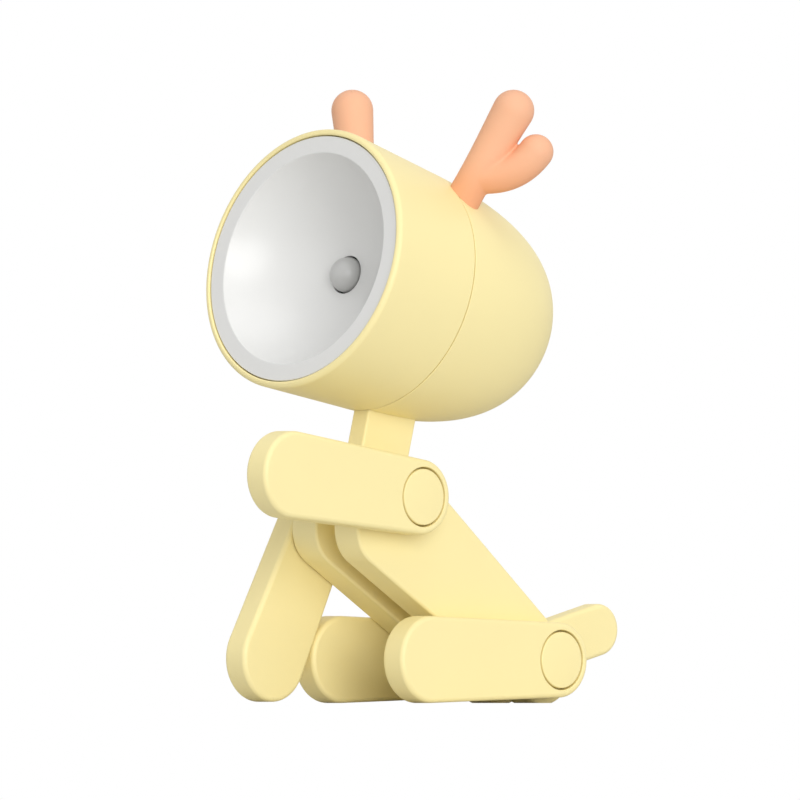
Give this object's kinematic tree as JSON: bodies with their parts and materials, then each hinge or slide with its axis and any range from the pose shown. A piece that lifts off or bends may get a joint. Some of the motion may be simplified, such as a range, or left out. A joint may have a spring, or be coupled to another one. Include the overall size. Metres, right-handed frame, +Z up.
{
  "type": "night light",
  "caption": "Folding animal-shaped LED night light: a round lamp head with antlers on a tilting neck, a torso of paired plates, swinging legs and a tail on friction pivots.",
  "frame": {"origin": "middle of the footprint, on the table", "axes": "+Z up, lamp looks along -Y, the lamp's own left is +X"},
  "size_m": [0.055, 0.104, 0.1127],
  "materials": {
    "yellow_abs": "fine satin moulded ABS",
    "white_reflector": "satin white moulded plastic",
    "led_epoxy": "cloudy clear epoxy dome",
    "peach_silicone": "soft matt silicone",
    "steel": "zinc plated",
    "brass_contact": "stamped sheet",
    "cell_steel": "nickel plated can",
    "board_laminate": "solder-masked laminate",
    "black_plastic": "moulded",
    "wire_jacket": "smooth jacket",
    "friction_rubber": "matt"
  },
  "bodies": {
    "torso": {"body_plate_left": "yellow_abs", "body_plate_right": "yellow_abs", "shoulder_axle": "steel", "hip_axle": "steel", "axle_nuts": "steel", "nut_washers": "steel", "friction_washers": "friction_rubber"},
    "head": {"front_shell": "yellow_abs", "rear_shell": "yellow_abs", "reflector": "white_reflector", "led": "led_epoxy", "led_leads": "steel", "lamp_board": "board_laminate", "board_screws": "steel", "battery_holder": "black_plastic", "button_cells": "cell_steel", "battery_contact": "brass_contact", "battery_spring": "steel", "switch_body": "black_plastic", "button_spring": "steel", "switch_retainer": "black_plastic", "switch_wires": "wire_jacket", "antler_left": "peach_silicone", "antler_right": "peach_silicone", "neck": "yellow_abs", "neck_screws": "steel"},
    "power_button": {"power_button": "yellow_abs"},
    "front_leg_left": {"front_leg_left": "yellow_abs", "shoulder_cap_left": "yellow_abs"},
    "front_leg_right": {"front_leg_right": "yellow_abs", "shoulder_cap_right": "yellow_abs"},
    "hind_leg_left": {"hind_leg_left": "yellow_abs", "hip_cap_left": "yellow_abs"},
    "hind_leg_right": {"hind_leg_right": "yellow_abs", "hip_cap_right": "yellow_abs"},
    "tail": {"tail": "yellow_abs"}
  },
  "joints": [
    {"name": "neck_tilt", "type": "hinge", "parent": "torso", "child": "head", "pos_m": [0, -0.01085, 0.03786], "axis": [1, 0, 0], "range_deg": [-30, 12]},
    {"name": "front_leg_left_swing", "type": "hinge", "parent": "torso", "child": "front_leg_left", "pos_m": [0, -0.01085, 0.03786], "axis": [-1, 0, 0], "range_deg": [-69, 5]},
    {"name": "front_leg_right_swing", "type": "hinge", "parent": "torso", "child": "front_leg_right", "pos_m": [0, -0.01085, 0.03786], "axis": [-1, 0, 0], "range_deg": [0, 74]},
    {"name": "hind_leg_left_swing", "type": "hinge", "parent": "torso", "child": "hind_leg_left", "pos_m": [0, 0.02498, 0.0079], "axis": [-1, 0, 0], "range_deg": [-95, 0]},
    {"name": "hind_leg_right_swing", "type": "hinge", "parent": "torso", "child": "hind_leg_right", "pos_m": [0, 0.02498, 0.0079], "axis": [-1, 0, 0], "range_deg": [-95, 0]},
    {"name": "tail_swing", "type": "hinge", "parent": "torso", "child": "tail", "pos_m": [0, 0.02498, 0.0079], "axis": [1, 0, 0], "range_deg": [-18, 70]},
    {"name": "power_button_press", "type": "slide", "parent": "head", "child": "power_button", "axis": [0, -0.9659, 0.2588], "range_m": [0, 0.001], "stiffness_N_per_m": 800, "springref_m": -0.0005}
  ]
}
